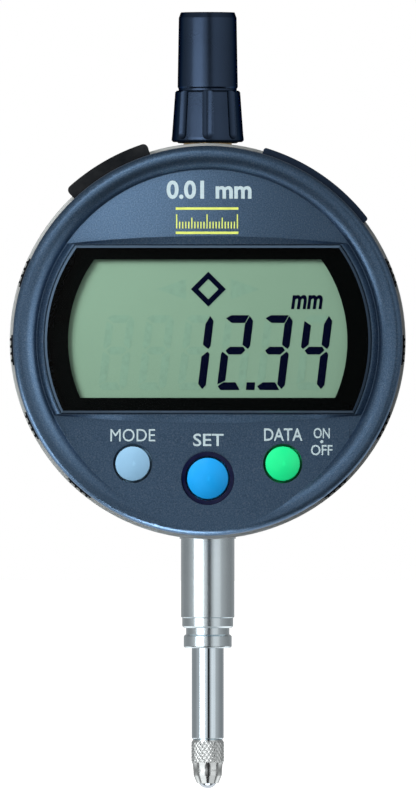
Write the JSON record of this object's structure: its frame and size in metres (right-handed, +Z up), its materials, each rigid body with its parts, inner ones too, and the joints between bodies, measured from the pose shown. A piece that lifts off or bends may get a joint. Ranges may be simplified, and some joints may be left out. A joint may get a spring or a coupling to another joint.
{
  "type": "digital plunger dial indicator",
  "caption": "Round digital plunger indicator: turning display head with window and buttons, clamping stem, sprung spindle with ball contact point, screw cap and rear lug.",
  "frame": {"origin": "on the spindle axis, in the middle of the stem's 8 mm clamping length", "axes": "+Z up along the spindle towards the cap, +X to the viewer's right, +Y to the back; the display faces -Y"},
  "size_m": [0.059, 0.0455, 0.1158],
  "materials": {
    "bezel": "satin metallic blue-grey moulding",
    "pads": "matt dark grip pads",
    "window": "clear hard-coated window",
    "mask": "black print",
    "lcd": "green-grey reflective display",
    "frame_plastic": "black moulding",
    "elastomer": "striped elastomer",
    "circuit_board": "green solder mask",
    "chip": "black epoxy",
    "contact": "plated spring contact",
    "screw": "plated screws",
    "button_pale": "pale blue",
    "button_blue": "bright blue",
    "button_green": "bright green",
    "button_ring": "navy trim ring",
    "cap": "dark blue-grey cap",
    "case": "satin case",
    "lid": "satin lid with lug",
    "seal": "black nitrile",
    "felt": "drag felt",
    "stem": "ground stainless steel",
    "bush": "bronze guide bush",
    "spindle": "ground stainless spindle",
    "point": "knurled steel",
    "ball": "polished carbide",
    "carriage": "machined carriage",
    "scale": "glass scale",
    "cell": "button cell can",
    "spring": "music wire",
    "ribbon": "polyimide ribbon"
  },
  "bodies": {
    "case": {"rear_case": "case", "back_plate": "lid", "back_gasket": "seal", "back_screws": "screw", "friction_ring": "felt", "hub_retaining_ring": "spring", "stop_pin": "screw", "stem": "stem", "stem_bush": "bush", "stem_end_collar": "stem", "wiper_seal": "seal", "upper_bush": "bush", "reader_board": "circuit_board", "reader_chip": "chip", "reader_screws": "screw", "guide_rail": "bush", "rail_screws": "screw", "return_spring": "spring", "ribbon_cable": "ribbon"},
    "spindle": {"spindle": "spindle", "contact_point": "point", "contact_ball": "ball", "scale_carrier": "carriage", "encoder_scale": "scale", "carrier_screw": "screw", "guide_pin": "screw", "stop_collar": "bush", "collar_grub_screw": "screw", "buffer_ring": "seal"},
    "cap": {"spindle_cap": "cap", "cap_seal": "seal"},
    "display_head": {"front_bezel": "bezel", "window": "window", "window_mask": "mask", "lcd_panel": "lcd", "lcd_frame": "frame_plastic", "zebra_strips": "elastomer", "display_board": "circuit_board", "board_chips": "chip", "cable_socket": "frame_plastic", "dome_switches": "contact", "board_screws": "screw", "set_button_ring": "button_ring", "display_rear_cover": "frame_plastic", "rear_cover_screws": "screw", "grip_pads": "pads", "battery_contacts": "contact", "port_socket": "frame_plastic", "port_pins": "contact"},
    "mode_button": {"mode_button": "button_pale"},
    "set_button": {"set_button": "button_blue"},
    "data_button": {"data_button": "button_green"},
    "battery_drawer": {"battery_tray": "frame_plastic", "battery_cell": "cell", "battery_cover": "cap"},
    "port_cover": {"port_cover": "pads"}
  },
  "joints": [
    {"name": "spindle_travel", "type": "slide", "parent": "case", "child": "spindle", "axis": [0, 0, 1], "range_m": [0, 0.0127], "stiffness_N_per_m": 30, "springref_m": -0.05, "deforming": ["return_spring"]},
    {"name": "display_turn", "type": "hinge", "parent": "case", "child": "display_head", "pos_m": [0, 0, 0.03535], "axis": [0, -1, 0], "range_deg": [-60, 270], "deforming": ["ribbon_cable"]},
    {"name": "cap_lift", "type": "slide", "parent": "case", "child": "cap", "axis": [0, 0, 1], "range_m": [0, 0.012]},
    {"name": "mode_press", "type": "slide", "parent": "display_head", "child": "mode_button", "axis": [0, 1, 0], "range_m": [0, 0.00035], "stiffness_N_per_m": 5, "springref_m": -0.003},
    {"name": "set_press", "type": "slide", "parent": "display_head", "child": "set_button", "axis": [0, 1, 0], "range_m": [0, 0.00035], "stiffness_N_per_m": 5, "springref_m": -0.003},
    {"name": "data_press", "type": "slide", "parent": "display_head", "child": "data_button", "axis": [0, 1, 0], "range_m": [0, 0.00035], "stiffness_N_per_m": 5, "springref_m": -0.003},
    {"name": "battery_drawer_slide", "type": "slide", "parent": "display_head", "child": "battery_drawer", "axis": [0.5678, 0, 0.8231], "range_m": [0, 0.015]},
    {"name": "port_cover_pull", "type": "slide", "parent": "display_head", "child": "port_cover", "axis": [-0.5023, 0, 0.8647], "range_m": [0, 0.006]}
  ]
}
